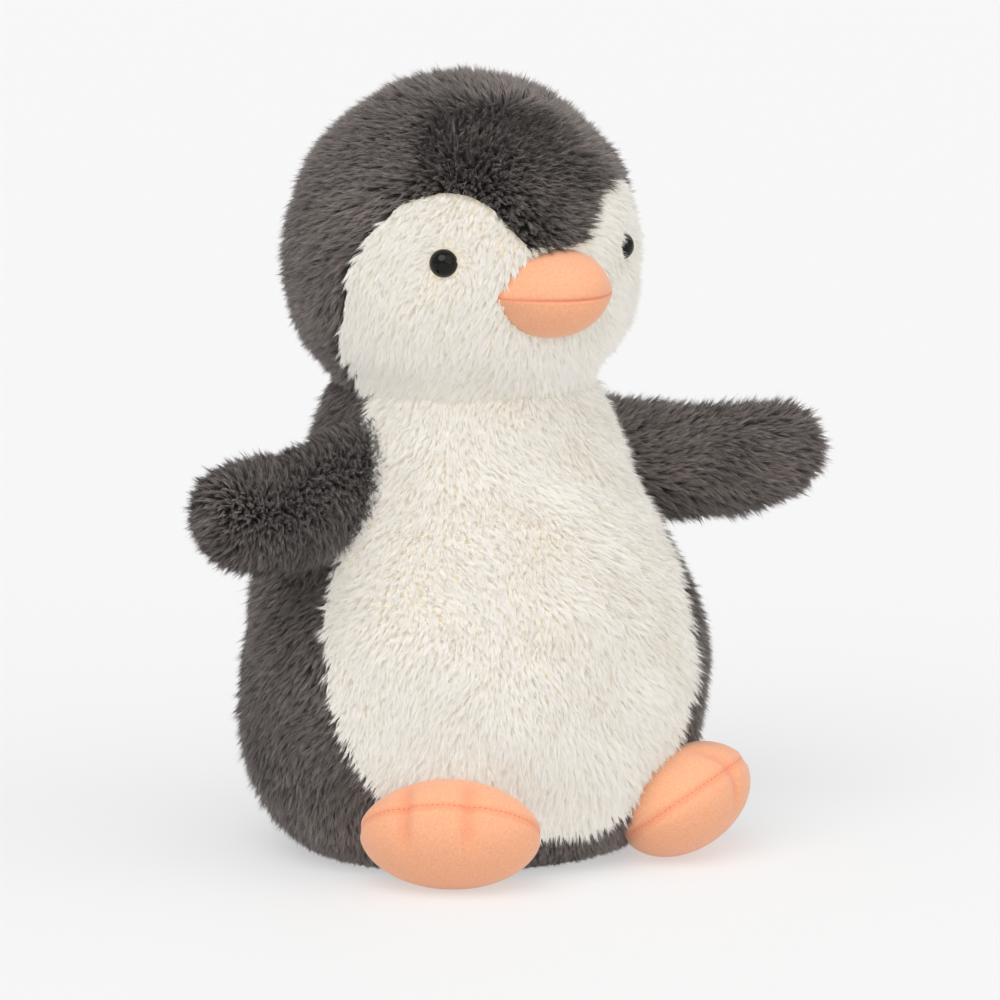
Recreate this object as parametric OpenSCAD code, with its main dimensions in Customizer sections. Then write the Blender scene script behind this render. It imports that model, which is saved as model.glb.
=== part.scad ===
// Sitting plush penguin: sewn fabric panels over fibre fillings.
// It faces -Y, its left side is +X, and it rests on the flat face at z = 0.

/* [Torso] */
// Half-width of the torso where it is widest
torso_r = 99.5; // [94:0.5:103]
// Depth of the torso as a share of its width
torso_flat = 0.885; // [0.84:0.005:0.95]
// Height of the neck above the seat
neck_z = 202; // [196:1:208]
// Half-width of the neck
neck_r = 52; // [48:1:56]
// Height of the seam round the base panel
base_seam_z = 20; // [17:0.5:22]
// Half-angle that the belly panel spans at the neck
belly_half = 78; // [70:1:82]
// Half-angle that it spans from the waist down, before it narrows to the base
belly_wide = 62; // [58:1:78]
// Angle that the belly panel is turned towards the right side
belly_skew = 14; // [0:1:16]
// How far the neck and head sit behind the middle of the seat
lean = 7; // [4:0.5:9]
// How far the belly sits in front of the middle of the seat
paunch = 2.5; // [0:0.5:4]

/* [Head] */
// Radius of the head
head_r = 71; // [67:0.5:74]
// Height of the middle of the head
head_z = 256; // [252:1:260]
// Half-angle that the face panel spans at the cheeks
face_half = 86; // [80:1:90]
// Height of the face panel's two upper lobes above the middle of the head
lobe_rise = 34.5; // [31:0.5:38]
// Angle from the front to the top of each lobe
lobe_angle = 40; // [36:1:46]
// Height of the forehead peak above the middle of the head
peak_rise = 11; // [9:0.5:14]

/* [Eyes] */
// Width of an eye dome
eye_d = 12; // [10:0.5:14]
// Height that an eye dome stands off the fabric
eye_dome = 5; // [4:0.25:6]
// Angle from the front to each eye
eye_angle = 40; // [37:1:43]
// Height of the eyes above the middle of the head
eye_rise = 5.5; // [3:0.5:8]

/* [Beak] */
// Half-width of the beak
beak_w = 25; // [22:0.5:27]
// Half-height of the beak
beak_h = 19; // [17:0.5:20]
// Length that the beak stands out from the face
beak_l = 21.5; // [18:0.5:24]
// Height of the beak seam below the middle of the head
beak_drop = 9; // [6:0.5:11]

/* [Wings] */
// Reach of a wing tip from the middle
wing_reach = 154; // [148:1:160]
// Half-height of a wing where it is sewn on
wing_root_h = 25; // [22:0.5:27]
// Half-height of a wing along its paddle
wing_h = 19.5; // [17:0.5:21]
// Half-thickness of a wing
wing_t = 12; // [10:0.5:13]
// Height of the wing root
wing_z = 165; // [160:1:168]

/* [Feet] */
// Distance of a foot from the middle, sideways
foot_x = 60; // [58:0.5:62]
// Distance of a foot in front of the middle
foot_y = 74; // [70:0.5:76]
// Half-width of a foot
foot_w = 38.5; // [36:0.5:40]
// Half-length of a foot
foot_l = 30; // [27:0.5:31]
// Half-thickness of a foot
foot_t = 20.5; // [18:0.5:21.5]
// Angle that a foot points outwards
foot_splay = 38; // [34:1:42]
// Angle that the toes are raised
foot_tilt = 36; // [30:1:40]

/* [Cloth and joints] */
// Thickness of a fabric panel with its backing
cloth = 1.4; // [1:0.1:2]
// Gap at a seam and between a panel and what fills it
seam = 0.4; // [0.3:0.05:0.5]
// Radius of the firm ball of fibre in the neck
neck_ball = 28; // [26:0.5:30]
// Greatest nod of the head each way
nod = 10; // [5:1:11]
// Greatest upward flex of a foot
flex = 12; // [8:1:14]

/* [Hidden] */

dark = [0.26, 0.24, 0.24];
cream = [0.92, 0.90, 0.86];
orange = [0.96, 0.67, 0.49];
fibre = [0.97, 0.97, 0.95];
calico = [0.85, 0.80, 0.70];
pellet = [0.75, 0.78, 0.80];
black = [0.03, 0.03, 0.03];

fine = 64;
halvings = 14;
fill = cloth + seam;
// Insets of the two large fillings, which clear the flats of the panels
body_inset = 5.2;
head_inset = 4.6;
neck_gap = 1;
nod_gap = 11;

// ---- general shapes ----------------------------------------------------------

function mix(a, b, t) = a + (b - a) * t;
function ease(t) = let (u = min(1, max(0, t))) u * u * (3 - 2 * u);

// Smooth curve through a list of points; t runs from 0 to the last index
function curve(pts, t) =
    let (n = len(pts) - 1, i = min(n - 1, max(0, floor(t))), f = t - i)
    let (a = pts[max(0, i - 1)], b = pts[i], c = pts[i + 1], d = pts[min(n, i + 2)])
    0.5 * (2 * b + (c - a) * f + (2 * a - 5 * b + 4 * c - d) * f * f
           + (3 * b - a - 3 * c + d) * f * f * f);

// Grid of points from a function of two shares, each 0 to 1
function grid(rows, cols, at) =
    [for (i = [0:rows]) [for (j = [0:cols]) at(i / rows, j / cols)]];

function quad(a, b, c, d) = [[a, b, c], [a, c, d]];
function triple(p, f) = p[f[0]] * cross(p[f[1]], p[f[2]]);
function total(list, i = 0) = i >= len(list) ? 0 : list[i] + total(list, i + 1);
function volume(p, faces) = total([for (row = faces) total([for (f = row) triple(p, f)])]);

// Solid between two grids with the same rows and columns
module slab(outer, inner) {
    m = len(outer) - 1;
    n = len(outer[0]) - 1;
    lift = (m + 1) * (n + 1);
    points = [for (side = [outer, inner]) for (row = side) each row];
    function a(i, j) = i * (n + 1) + j;
    function b(i, j) = lift + a(i, j);
    skins = [for (i = [0:m - 1]) [for (j = [0:n - 1])
        each concat(quad(a(i, j), a(i + 1, j), a(i + 1, j + 1), a(i, j + 1)),
                    quad(b(i, j), b(i, j + 1), b(i + 1, j + 1), b(i + 1, j)))]];
    ends = [for (j = [0:n - 1])
        concat(quad(a(0, j), a(0, j + 1), b(0, j + 1), b(0, j)),
               quad(a(m, j + 1), a(m, j), b(m, j), b(m, j + 1)))];
    sides = [for (i = [0:m - 1])
        concat(quad(a(i + 1, 0), a(i, 0), b(i, 0), b(i + 1, 0)),
               quad(a(i, n), a(i + 1, n), b(i + 1, n), b(i, n)))];
    faces = concat(skins, ends, sides);
    // OpenSCAD reads a face clockwise from outside, so a right solid has a negative sum
    turned = volume(points, faces) > 0;
    polyhedron(points, [for (row = faces) for (f = row) turned ? [f[2], f[1], f[0]] : f]);
}

// Solid inside a stack of flat rings; each ring is open, so its last point joins its first
module stack(rings) {
    m = len(rings) - 1;
    n = len(rings[0]);
    points = [for (ring = rings) each ring];
    function a(i, j) = i * n + j % n;
    walls = [for (i = [0:m - 1]) [for (j = [0:n - 1])
        each quad(a(i, j), a(i + 1, j), a(i + 1, j + 1), a(i, j + 1))]];
    turned = volume(points, walls) > 0;
    low = [for (j = [0:n - 1]) a(0, j)];
    high = [for (j = [n - 1:-1:0]) a(m, j)];
    faces = concat([for (row = walls) each row], [low, high]);
    polyhedron(points, [for (f = faces) turned ? [for (k = [len(f) - 1:-1:0]) f[k]] : f]);
}

// ---- torso surface -----------------------------------------------------------

torso_outline = [[0.6 * torso_r, 0], [0.745 * torso_r, 0.02 * neck_z],
                 [0.865 * torso_r, 0.08 * neck_z], [0.958 * torso_r, 0.188 * neck_z],
                 [torso_r, 0.327 * neck_z], [0.995 * torso_r, 0.416 * neck_z],
                 [0.942 * torso_r, 0.535 * neck_z], [0.817 * torso_r, 0.658 * neck_z],
                 [0.681 * torso_r, 0.777 * neck_z], [0.592 * torso_r, 0.891 * neck_z],
                 [neck_r, neck_z]];
outline_steps = 100;
torso_table = [for (i = [0:outline_steps])
    let (p = curve(torso_outline, i * (len(torso_outline) - 1) / outline_steps)) [p[1], p[0]]];

waist_z = 100;
paunch_z = 80;
function torso_radius(z) = lookup(z, torso_table);
function torso_share(z) = mix(torso_flat, 1, ease((z - waist_z) / (neck_z - waist_z)));
function torso_mid(z) =
    z < paunch_z ? -paunch * ease(z / paunch_z)
    : mix(-paunch, lean, ease((z - paunch_z) / (neck_z - paunch_z)));
function torso_normal(z) =
    let (s = torso_radius(z + 0.5) - torso_radius(z - 0.5), n = [1, -s]) n / norm(n);

// Radius at a height, inset by d square to the surface
function torso_level(z, d) = torso_radius(z) - d / torso_normal(max(z, cloth))[0];

// Point on the torso, phi degrees from the front, inset by d
function torso_pt(phi, z, d = 0) =
    let (n = torso_normal(z), r = torso_radius(z) - d * n[0])
    [r * sin(phi), torso_mid(z) - torso_share(z) * r * cos(phi), z - d * n[1]];

// How far a point stands off the torso, measured across the axis
function torso_off(p) =
    norm([p[0], (p[1] - torso_mid(p[2])) / torso_share(p[2])]) - torso_radius(p[2]);

// The same point moved across the axis until it stands off the torso by gap
function torso_push(p, gap) =
    let (z = p[2], k = torso_share(z), q = [p[0], (p[1] - torso_mid(z)) / k])
    let (w = q * (torso_radius(z) + gap) / norm(q)) [w[0], torso_mid(z) + k * w[1], z];

// Half-angle and middle of the belly panel at a height
belly_low_z = base_seam_z + 0.5;
belly_round = 2.6;
function belly_span(z) =
    mix(belly_wide, belly_half, ease((z - waist_z) / (neck_z - waist_z)))
    * pow(1 - pow((neck_z - z) / (neck_z - base_seam_z + 1), 3), 1 / belly_round);
function belly_mid(z) = -belly_skew * ease((neck_z - z) / waist_z);
function slit(z) = seam / 2 / torso_radius(z) * 180 / PI;

// Torso panel between two edges, each a function of height
module torso_panel(from, to, cols) {
    rows = 15;
    top_z = neck_z - neck_gap;
    function at(d) = function (u, v)
        let (z = mix(belly_low_z, top_z, u)) torso_pt(mix(from(z), to(z), v), z, d);
    slab(grid(rows, cols, at(0)), grid(rows, cols, at(cloth)));
}

module belly_panel() {
    color(cream)
        torso_panel(function (z) belly_mid(z) - belly_span(z) + slit(z),
                    function (z) belly_mid(z) + belly_span(z) - slit(z), 20);
}

module back_left_panel() {
    color(dark)
        torso_panel(function (z) belly_mid(z) + belly_span(z) + slit(z),
                    function (z) 180 - slit(z), 16);
}

module back_right_panel() {
    color(dark)
        torso_panel(function (z) -180 + slit(z),
                    function (z) belly_mid(z) - belly_span(z) - slit(z), 16);
}

// Ring of points round the torso
ring_points = 40;
function torso_ring(z, d, height) =
    [for (i = [0:ring_points - 1])
        let (phi = i * 360 / ring_points, r = torso_level(z, d))
        [r * sin(phi), torso_mid(z) - torso_share(z) * r * cos(phi), height]];

base_rows = 6;
module base_panel() {
    function height(i) = base_seam_z * pow(i / base_rows, 1.6);
    outer = [for (i = [0:base_rows]) torso_ring(height(i), 0, height(i))];
    function lifted(i) = mix(cloth, base_seam_z + 1, pow(i / base_rows, 1.6));
    inner = [for (i = [0:base_rows]) torso_ring(lifted(i), cloth, lifted(i))];
    color(dark)
        difference() {
            stack(outer);
            stack(inner);
        }
}

// ---- torso filling -----------------------------------------------------------

pouch_r = 46;
pouch_h = 13;
pouch_z = 20;
pouch_cloth = 0.6;

// Cushion-shaped solid of revolution
module lens(r, h) {
    rotate_extrude($fn = fine)
        polygon(concat([[0, -h]], [for (a = [-75:15:75]) [r * pow(cos(a), 0.7), h * sin(a)]], [[0, h]]));
}

module body_stuffing() {
    rows = 16;
    low = fill;
    high = neck_z - neck_gap - seam;
    function height(i) = mix(low, high, i / rows);
    color(fibre)
        difference() {
            stack([for (i = [0:rows]) torso_ring(height(i), body_inset, height(i))]);
            translate([0, 0, pouch_z]) lens(pouch_r + seam, pouch_h + seam);
            translate([0, lean, neck_z]) sphere(r = neck_ball + seam, $fn = fine);
        }
}

module bean_pouch() {
    color(calico)
        translate([0, 0, pouch_z])
            difference() {
                lens(pouch_r, pouch_h);
                lens(pouch_r - pouch_cloth, pouch_h - pouch_cloth);
            }
}

module bean_pellets() {
    color(pellet)
        translate([0, 0, pouch_z]) lens(pouch_r - pouch_cloth - seam, pouch_h - pouch_cloth - seam);
}

module neck_stuffing() {
    color(fibre)
        translate([0, lean, neck_z]) sphere(r = neck_ball, $fn = fine);
}

// ---- head surface ------------------------------------------------------------

crown_z = head_z + head_r + 1.5;
head_low_z = neck_z + nod_gap;
head_outline = [[neck_r + 3.5, head_low_z], [0.915 * head_r, head_z - 0.46 * head_r],
                [0.98 * head_r, head_z - 0.235 * head_r], [head_r, head_z],
                [0.965 * head_r, head_z + 0.28 * head_r], [0.865 * head_r, head_z + 0.53 * head_r],
                [0.66 * head_r, head_z + 0.76 * head_r], [0.38 * head_r, head_z + 0.94 * head_r],
                [0, crown_z]];
head_last = len(head_outline) - 1;

// Point of the head's outline at t, 0 at the neck and 1 at the crown
function head_rz(t) =
    let (full = concat(head_outline, [[-0.38 * head_r, head_z + 0.94 * head_r]]))
    curve(full, t * head_last);
function head_normal(t) =
    let (e = 0.002, a = head_rz(max(0, t - e)), b = head_rz(min(1, t + e)), s = b - a)
    [s[1], -s[0]] / norm(s);

// Point on the head, phi degrees from the front, inset by d
function head_pt(phi, t, d = 0) =
    let (p = head_rz(t) - d * head_normal(t)) [p[0] * sin(phi), lean - p[0] * cos(phi), p[1]];

// Share along the outline at a height, by halving
function head_t(z, lo = 0, hi = 1, k = 0) =
    let (m = (lo + hi) / 2)
    k >= halvings ? m : head_rz(m)[1] < z ? head_t(z, m, hi, k + 1) : head_t(z, lo, m, k + 1);

// Upper edge of the face panel, as height over angle from the front
lobe_z = head_z + lobe_rise;
face_edge = [[0, head_z + peak_rise], [10, head_z + peak_rise], [15, mix(head_z, lobe_z, 0.5)],
             [23, mix(head_z, lobe_z, 0.82)], [31, mix(head_z, lobe_z, 0.96)], [lobe_angle, lobe_z],
             [0.64 * face_half, mix(head_z, lobe_z, 0.88)], [0.76 * face_half, mix(head_z, lobe_z, 0.53)],
             [0.86 * face_half, head_z], [0.93 * face_half, mix(head_low_z, head_z, 0.45)],
             [face_half, head_low_z + 3]];
function face_top(phi) = lookup(abs(phi), face_edge);

// Head panel from one angle to another, between two edges given as shares up the outline
module head_panel(from, to, cols, rows, low, high) {
    function at(d) = function (u, v)
        let (phi = mix(from, to, v)) head_pt(phi, mix(low(phi), high(phi), u), d);
    slab(grid(rows, cols, at(0)), grid(rows, cols, at(cloth)));
}

edge_slit = seam / head_r / 2;
crown_share = 0.992;
hood_slit = seam / 2 / head_r * 180 / PI;
brow = lobe_angle;

module face_panel() {
    color(cream)
        difference() {
            head_panel(-face_half, face_half, 36, 8, function (phi) 0,
                       function (phi) head_t(face_top(phi)) - edge_slit);
            for (side = [-1, 1])
                eye_place(side) cylinder(h = 4 * cloth, r = shank_hole, center = true, $fn = fine);
        }
}

module forehead_panel() {
    color(dark)
        head_panel(-brow + hood_slit, brow - hood_slit, 22, 8,
                   function (phi) head_t(face_top(phi)) + edge_slit,
                   function (phi) crown_share);
}

function hood_low(phi) = abs(phi) >= face_half ? 0 : head_t(face_top(phi)) + edge_slit;

module hood_left_panel() {
    color(dark)
        head_panel(brow + hood_slit, 180 - hood_slit, 28, 9, function (phi) hood_low(phi),
                   function (phi) crown_share);
}

module hood_right_panel() {
    color(dark)
        head_panel(-180 + hood_slit, -brow - hood_slit, 28, 9, function (phi) hood_low(phi),
                   function (phi) crown_share);
}

module head_stuffing() {
    steps = 24;
    d = head_inset;
    wall = [for (i = [0:steps]) head_rz(i / steps) - d * head_normal(i / steps)];
    shell = [for (p = wall) [max(0, p[0]), p[1]]];
    socket = neck_ball + seam;
    rise = tan(nod + 2);
    color(fibre)
        translate([0, lean, 0])
            difference() {
                rotate_extrude($fn = fine)
                    polygon(concat([[0, neck_z + 2], [socket, neck_z + 2 + socket * rise]],
                                   shell));
                translate([0, 0, neck_z]) sphere(r = socket, $fn = fine);
                translate([0, -lean, 0]) for (side = [-1, 1]) eye_cavity(side);
            }
}

// ---- eyes ---------------------------------------------------------------------

shank_r = 2.3;
shank_hole = 2.4;
shank_l = 9;
washer_r = 8;
washer_t = 1.6;
washer_gap = 0.9;
eye_seat = 0.15;

// Put children at an eye, with +Z straight out of the head
module eye_place(side) {
    t = head_t(head_z + eye_rise);
    n = head_normal(t);
    translate(head_pt(side * eye_angle, t))
        rotate([0, 0, side * eye_angle - 90])
            rotate([0, atan2(n[0], n[1]), 0])
                children();
}

module eye(side) {
    ball = (pow(eye_d / 2, 2) + pow(eye_dome, 2)) / (2 * eye_dome);
    color(black)
        eye_place(side)
            translate([0, 0, eye_seat])
                union() {
                    intersection() {
                        translate([0, 0, eye_dome - ball]) sphere(r = ball, $fn = fine);
                        cylinder(h = eye_dome + 1, r = eye_d, $fn = fine);
                    }
                    translate([0, 0, -shank_l]) cylinder(h = shank_l + 0.5, r = shank_r, $fn = fine);
                }
}

module washer(side) {
    color(pellet)
        eye_place(side)
            translate([0, 0, -cloth - washer_gap - washer_t])
                difference() {
                    cylinder(h = washer_t, r = washer_r, $fn = fine);
                    translate([0, 0, -1]) cylinder(h = washer_t + 2, r = shank_hole, $fn = fine);
                }
}

// Room in the head filling for a washer and the end of a shank
module eye_cavity(side) {
    depth = cloth + washer_gap + washer_t + seam;
    eye_place(side) {
        translate([0, 0, -depth]) cylinder(h = depth + 2, r = washer_r + seam, $fn = fine);
        translate([0, 0, -shank_l - seam]) cylinder(h = shank_l, r = shank_r + seam, $fn = fine);
    }
}

module eye_left() { eye(1); }
module eye_right() { eye(-1); }
module eye_left_washer() { washer(1); }
module eye_right_washer() { washer(-1); }

// ---- beak ---------------------------------------------------------------------

beak_end = 88;
beak_side = 4;
beak_fill_end = 80;
function face_y(x, z) = lean - sqrt(pow(head_rz(head_t(z))[0] + seam, 2) - x * x);

// Point on the beak: a runs from the right corner to the left one, b is the height angle
function beak_pt(a, b, d) =
    let (x = -(beak_w - d) * cos(a) * cos(b), z = head_z - beak_drop + (beak_h - d) * sin(b))
    [x, face_y(x, z) - seam - (beak_l - d) * sin(a) * cos(b), z];

module beak_half(from, to) {
    function at(d) = function (u, v) beak_pt(mix(0, 180, v), mix(from, to, u), d);
    color(orange) slab(grid(7, 16, at(0)), grid(7, 16, at(cloth)));
}

module beak_upper() { beak_half(0.6, beak_end); }
module beak_lower() { beak_half(-beak_end, -0.6); }

module beak_stuffing() {
    front = function (u, v)
        beak_pt(mix(beak_side, 180 - beak_side, v), mix(-beak_fill_end, beak_fill_end, u), fill);
    back = function (u, v)
        let (p = front(u, v)) [p[0], face_y(p[0], p[2]) - 2 * seam, p[2]];
    color(fibre) slab(grid(10, 14, front), grid(10, 14, back));
}

// ---- wings --------------------------------------------------------------------

wing_gap = 8.5;
wing_path = [[0.3 * wing_reach, 1, wing_z + 1], [0.45 * wing_reach, -8, wing_z - 3],
             [0.62 * wing_reach, -18, wing_z - 6], [0.8 * wing_reach, -27, wing_z - 6],
             [wing_reach, -34, wing_z - 1.5]];
wing_heights = [[0, wing_root_h], [0.2, 0.88 * wing_root_h], [0.4, 1.08 * wing_h],
                [0.6, wing_h], [0.8, 0.97 * wing_h], [1, 0.95 * wing_h]];
wing_round = 0.76;

// Height and thickness shrink to nothing over the rounded tip
function wing_tip(s) = s < wing_round ? 1 : sqrt(max(0, 1 - pow((s - wing_round) / (1 - wing_round), 2)));

// Point on the left wing at share s along it; a is 0 at the top seam and 180 at the bottom seam
function wing_pt(s, a, d) =
    let (c = curve(wing_path, s * (len(wing_path) - 1)), k = wing_tip(s))
    let (h = max(0.2, lookup(s, wing_heights) * k - d), t = max(0.2, wing_t * k - d))
    c + [0, -t * sin(a), h * cos(a)];

// Share at which the wing clears the torso by gap, by halving
function wing_start(a, d, gap, lo = 0, hi = 0.6, k = 0) =
    let (m = (lo + hi) / 2)
    k >= halvings ? hi
    : torso_off(wing_pt(m, a, d)) < gap ? wing_start(a, d, gap, m, hi, k + 1)
    : wing_start(a, d, gap, lo, m, k + 1);

wing_end = 0.995;
wing_fill_short = 0.02;
wing_seam = 1.2;

// Rows lie closer together towards the tip
function toward_tip(u) = 1 - pow(1 - u, 1.5);

module wing_half(from, to) {
    function at(d) = function (u, v)
        let (a = mix(from, to, v), root = wing_start(a, d, wing_gap))
        wing_pt(mix(root, wing_end - d / wing_reach, toward_tip(u)), a, d);
    color(dark) slab(grid(12, 10, at(0)), grid(12, 10, at(cloth)));
}

module wing_front() { wing_half(wing_seam, 180 - wing_seam); }
module wing_back() { wing_half(-wing_seam, -180 + wing_seam); }

module wing_filling() {
    rows = 12;
    n = 20;
    d = fill + seam;
    rings = [for (i = [0:rows]) [for (j = [0:n - 1])
        let (a = j * 360 / n, root = wing_start(a, d, wing_gap))
        wing_pt(mix(root, wing_end - wing_fill_short, toward_tip(i / rows)), a, d)]];
    color(fibre) root_closed(rings);
}

// Stack of rings whose first ring isn't flat, so it is closed by a fan to its middle
module root_closed(rings) {
    m = len(rings) - 1;
    n = len(rings[0]);
    flat = [for (ring = rings) each ring];
    middle = [for (k = [0:2]) total([for (p = rings[0]) p[k]]) / n];
    tip = [for (k = [0:2]) total([for (p = rings[m]) p[k]]) / n];
    points = concat(flat, [middle, tip]);
    root_i = (m + 1) * n;
    function a(i, j) = i * n + j % n;
    walls = [for (i = [0:m - 1]) [for (j = [0:n - 1])
        each quad(a(i, j), a(i + 1, j), a(i + 1, j + 1), a(i, j + 1))]];
    fans = [for (j = [0:n - 1]) [[a(0, j), a(0, j + 1), root_i], [a(m, j + 1), a(m, j), root_i + 1]]];
    faces = concat(walls, fans);
    turned = volume(points, faces) > 0;
    polyhedron(points, [for (row = faces) for (f = row) turned ? [f[2], f[1], f[0]] : f]);
}

module wing_left_front() { wing_front(); }
module wing_left_back() { wing_back(); }
module wing_left_stuffing() { wing_filling(); }
module wing_right_front() { mirror([1, 0, 0]) wing_front(); }
module wing_right_back() { mirror([1, 0, 0]) wing_back(); }
module wing_right_stuffing() { mirror([1, 0, 0]) wing_filling(); }

// ---- feet ---------------------------------------------------------------------

foot_z = 24.6;
foot_hinge_z = 12;
foot_ahead = [sin(foot_splay), -cos(foot_splay), 0];
foot_side = [cos(foot_splay), sin(foot_splay), 0];
foot_axis = cos(foot_tilt) * foot_ahead + [0, 0, sin(foot_tilt)];
foot_up = [0, 0, cos(foot_tilt)] - sin(foot_tilt) * foot_ahead;
foot_mid = [foot_x, -foot_y, foot_z];

// Point on the left foot: p runs from toe to heel, a goes round from the outer side over the top
function foot_pt(p, a, d) =
    foot_mid + (foot_l - d) * cos(180 * p) * foot_axis
    + (foot_w - d) * sin(180 * p) * cos(a) * foot_side
    + (foot_t - d) * sin(180 * p) * sin(a) * foot_up;

// Room behind the foot for it to flex up against the belly, which widens upwards too
flex_spare = 1.3;
foot_clear = 0.8;
function foot_gap(z) = foot_clear + max(0, z - foot_hinge_z) * sin(flex) * flex_spare;

function foot_end(a, d, more = 0, lo = 0.02, hi = 1, k = 0) =
    let (m = (lo + hi) / 2, q = foot_pt(m, a, d))
    k >= halvings ? lo
    : torso_off(q) > foot_gap(q[2]) + more ? foot_end(a, d, more, m, hi, k + 1)
    : foot_end(a, d, more, lo, m, k + 1);

toe = 0.006;
rim_seam = 0.6;
module foot_half(from, to) {
    function at(d) = function (u, v)
        let (a = mix(from, to, v)) foot_pt(mix(toe, foot_end(a, d), u), a, d);
    color(orange) slab(grid(10, 16, at(0)), grid(10, 16, at(cloth)));
}

module foot_upper() { foot_half(rim_seam, 180 - rim_seam); }
module foot_sole() { foot_half(180 + rim_seam, 360 - rim_seam); }

module foot_filling() {
    d = fill + 3 * seam;
    n = 24;
    rows = 10;
    // Where the foot's own middle line meets the room behind it
    function middle(lo = -1, hi = 0.9, k = 0) =
        let (m = (lo + hi) / 2, q = foot_mid + foot_l * m * foot_axis)
        k >= halvings ? foot_mid + foot_l * hi * foot_axis
        : torso_off(q) > foot_gap(q[2]) + 1 ? middle(lo, m, k + 1) : middle(m, hi, k + 1);
    heel = middle();
    dome = [for (i = [0:rows]) [for (j = [0:n - 1])
        let (a = j * 360 / n) foot_pt(mix(0.03, foot_end(a, d, 1), i / rows), a, d)]];
    back_rows = 4;
    back = [for (i = [1:back_rows]) [for (j = [0:n - 1])
        let (q = mix(dome[rows][j], heel, 0.92 * i / back_rows)) torso_push(q, foot_gap(q[2]) + 1)]];
    color(fibre) root_closed([for (i = [back_rows - 1:-1:0]) back[i], for (i = [rows:-1:0]) dome[i]]);
}

module foot_left_upper() { foot_upper(); }
module foot_left_sole() { foot_sole(); }
module foot_left_stuffing() { foot_filling(); }
module foot_right_upper() { mirror([1, 0, 0]) foot_upper(); }
module foot_right_sole() { mirror([1, 0, 0]) foot_sole(); }
module foot_right_stuffing() { mirror([1, 0, 0]) foot_filling(); }

// ---- the pieces ---------------------------------------------------------------

belly_panel();
back_left_panel();
back_right_panel();
base_panel();
body_stuffing();
bean_pouch();
bean_pellets();
neck_stuffing();
forehead_panel();
hood_left_panel();
hood_right_panel();
face_panel();
head_stuffing();
eye_left();
eye_right();
eye_left_washer();
eye_right_washer();
beak_upper();
beak_lower();
beak_stuffing();
wing_left_front();
wing_left_back();
wing_left_stuffing();
wing_right_front();
wing_right_back();
wing_right_stuffing();
foot_left_upper();
foot_left_sole();
foot_left_stuffing();
foot_right_upper();
foot_right_sole();
foot_right_stuffing();
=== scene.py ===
"""Looks of the sitting plush penguin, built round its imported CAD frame.

Shapes are worked out in millimetres from the same measures as part.scad. The penguin faces -Y
and its left side is +X. Angles round the body run from the front, positive towards +X.
"""

import math

import bmesh
import bpy
import numpy as np
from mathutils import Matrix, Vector


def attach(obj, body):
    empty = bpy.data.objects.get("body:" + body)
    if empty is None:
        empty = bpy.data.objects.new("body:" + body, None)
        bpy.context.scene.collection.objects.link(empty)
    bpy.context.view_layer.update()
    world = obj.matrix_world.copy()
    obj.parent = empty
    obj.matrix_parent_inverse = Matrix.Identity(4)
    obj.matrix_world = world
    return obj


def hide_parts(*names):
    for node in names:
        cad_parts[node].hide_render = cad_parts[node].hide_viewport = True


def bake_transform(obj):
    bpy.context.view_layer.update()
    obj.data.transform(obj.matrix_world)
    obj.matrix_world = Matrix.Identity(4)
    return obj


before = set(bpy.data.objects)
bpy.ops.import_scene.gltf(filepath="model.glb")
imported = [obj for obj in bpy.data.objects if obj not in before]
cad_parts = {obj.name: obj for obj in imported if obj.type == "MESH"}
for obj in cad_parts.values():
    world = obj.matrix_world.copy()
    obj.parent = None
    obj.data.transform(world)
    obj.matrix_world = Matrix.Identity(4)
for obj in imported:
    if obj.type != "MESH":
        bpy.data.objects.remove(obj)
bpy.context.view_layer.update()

MM = 0.001

# ---- measures repeated from part.scad, in mm and degrees ------------------------------

TORSO_R, TORSO_FLAT, NECK_Z, NECK_R = 99.5, 0.885, 202.0, 52.0
BASE_Z, BELLY_HALF, BELLY_WIDE, BELLY_SKEW, BELLY_ROUND = 20.0, 78.0, 62.0, 14.0, 2.6
LEAN, PAUNCH, WAIST_Z, PAUNCH_Z = 7.0, 2.5, 100.0, 80.0
HEAD_R, HEAD_Z, HEAD_LOW = 71.0, 256.0, 213.0
FACE_HALF, LOBE_RISE, LOBE_ANGLE, PEAK_RISE = 86.0, 34.5, 40.0, 11.0
EYE_ANGLE, EYE_RISE, EYE_D = 40.0, 5.5, 12.0
BEAK_W, BEAK_H, BEAK_L, BEAK_DROP = 25.0, 19.0, 21.5, 9.0
WING_REACH, WING_ROOT_H, WING_H, WING_T = 154.0, 25.0, 19.5, 12.0
WING_Z, WING_ROUND = 165.0, 0.76
FOOT_X, FOOT_Y, FOOT_Z, FOOT_W, FOOT_L, FOOT_T = 60.0, 74.0, 24.6, 38.5, 30.0, 20.5
FOOT_SPLAY, FOOT_TILT = 38.0, 36.0
CLOTH = 1.4
CROWN_Z = HEAD_Z + HEAD_R + 1.5
BEAK_Z = HEAD_Z - BEAK_DROP

# ---- small helpers ---------------------------------------------------------------------


def ease(t):
    t = np.clip(t, 0, 1)
    return t * t * (3 - 2 * t)


def mix(a, b, t):
    return a + (b - a) * t


def unit(v):
    return v / np.maximum(np.linalg.norm(v, axis=-1, keepdims=True), 1e-9)


def dot(a, b):
    return (a * b).sum(-1, keepdims=True)


def curve(points, t):
    """Smooth curve through a list of points; t runs from 0 to the last index."""
    p = np.asarray(points, float)
    n = len(p) - 1
    t = np.asarray(t, float)
    i = np.clip(np.floor(t).astype(int), 0, n - 1)
    f = (t - i)[..., None]
    a, b, c, d = p[np.maximum(0, i - 1)], p[i], p[i + 1], p[np.minimum(n, i + 2)]
    square, cube = (2 * a - 5 * b + 4 * c - d) * f**2, (3 * b - a - 3 * c + d) * f**3
    return 0.5 * (2 * b + (c - a) * f + square + cube)


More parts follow.
